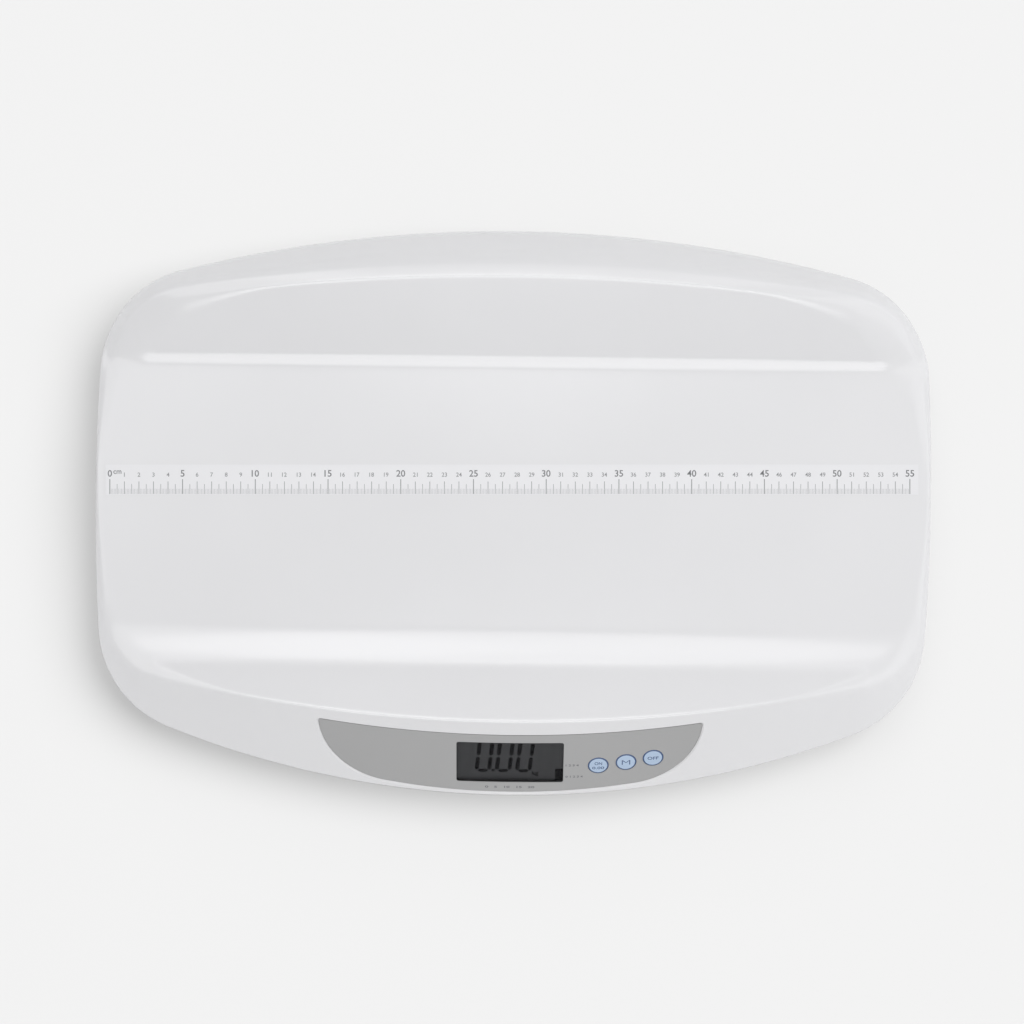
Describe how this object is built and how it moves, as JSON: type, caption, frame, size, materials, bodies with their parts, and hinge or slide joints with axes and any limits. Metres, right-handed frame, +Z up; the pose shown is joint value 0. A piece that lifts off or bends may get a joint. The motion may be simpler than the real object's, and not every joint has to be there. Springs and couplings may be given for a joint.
{
  "type": "digital baby weighing scale",
  "caption": "White moulded lying trough with a centimetre rule, standing on load cell feet, with a sloping display and key panel in its front apron.",
  "frame": {"origin": "on the table, under the middle of the tray's outline", "axes": "+X along the rule towards its high numbers, +Y to the rear rim, +Z up"},
  "size_m": [0.578, 0.391, 0.0786],
  "materials": {
    "white_plastic": "glossy moulded white",
    "cover_plastic": "fine spark-eroded white",
    "rule_film": "satin film with a printed rule",
    "silver_film": "satin silver film",
    "clear_plastic": "clear polished",
    "black_plastic": "matte black",
    "display_glass": "smooth dark display",
    "elastomer": "soft striped elastomer",
    "key_plastic": "satin light blue",
    "circuit_board": "green solder mask",
    "ivory_plastic": "ivory nylon",
    "bright_steel": "zinc plated",
    "battery_sleeve": "printed sleeve",
    "foot_rubber": "soft dark grey",
    "black_wire": "pvc sheath",
    "red_wire": "pvc sheath"
  },
  "bodies": {
    "housing": {"tray_shell": "white_plastic", "base_cover": "cover_plastic", "measuring_strip": "rule_film", "control_panel": "silver_film", "display_window": "clear_plastic", "lcd_frame": "black_plastic", "lcd_glass": "display_glass", "lcd_connector_upper": "elastomer", "lcd_connector_lower": "elastomer", "key_switch_on": "black_plastic", "key_switch_recall": "black_plastic", "key_switch_off": "black_plastic", "control_board": "circuit_board", "board_chip": "black_plastic", "sensor_connector": "ivory_plastic", "board_screw_1": "bright_steel", "board_screw_2": "bright_steel", "board_screw_3": "bright_steel", "board_screw_4": "bright_steel", "battery_cell_1": "battery_sleeve", "battery_cell_2": "battery_sleeve", "battery_cell_3": "battery_sleeve", "battery_cell_4": "battery_sleeve", "contact_front_left": "bright_steel", "contact_front_middle": "bright_steel", "contact_front_right": "bright_steel", "contact_rear_left": "bright_steel", "contact_rear_right": "bright_steel", "rubber_foot_rear_left": "foot_rubber", "rubber_foot_rear_right": "foot_rubber", "rubber_foot_front_left": "foot_rubber", "rubber_foot_front_right": "foot_rubber", "foot_cup_rear_left": "cover_plastic", "foot_cup_rear_right": "cover_plastic", "foot_cup_front_left": "cover_plastic", "foot_cup_front_right": "cover_plastic", "load_cell_rear_left": "bright_steel", "load_cell_rear_right": "bright_steel", "load_cell_front_left": "bright_steel", "load_cell_front_right": "bright_steel", "case_screw_1": "bright_steel", "case_screw_2": "bright_steel", "case_screw_3": "bright_steel", "case_screw_4": "bright_steel", "case_screw_5": "bright_steel", "case_screw_6": "bright_steel", "case_screw_7": "bright_steel", "case_screw_8": "bright_steel", "sensor_lead_front_left": "black_wire", "sensor_lead_rear_left": "black_wire", "sensor_lead_rear_right": "black_wire", "sensor_lead_front_right": "black_wire", "battery_lead_plus": "red_wire", "battery_lead_minus": "black_wire"},
    "on_key": {"button_on": "key_plastic"},
    "recall_key": {"button_recall": "key_plastic"},
    "off_key": {"button_off": "key_plastic"},
    "battery_lid": {"battery_door": "cover_plastic"}
  },
  "joints": [
    {"name": "on_key_press", "type": "slide", "parent": "housing", "child": "on_key", "axis": [0, 0.616, -0.7877], "range_m": [0, 0.0008], "stiffness_N_per_m": 800, "springref_m": -0.0008},
    {"name": "recall_key_press", "type": "slide", "parent": "housing", "child": "recall_key", "axis": [0, 0.616, -0.7877], "range_m": [0, 0.0008], "stiffness_N_per_m": 800, "springref_m": -0.0008},
    {"name": "off_key_press", "type": "slide", "parent": "housing", "child": "off_key", "axis": [0, 0.616, -0.7877], "range_m": [0, 0.0008], "stiffness_N_per_m": 800, "springref_m": -0.0008},
    {"name": "battery_door_hinge", "type": "hinge", "parent": "housing", "child": "battery_lid", "pos_m": [0, -0.0844, 0.01855], "axis": [1, 0, 0], "range_deg": [0, 85]}
  ]
}
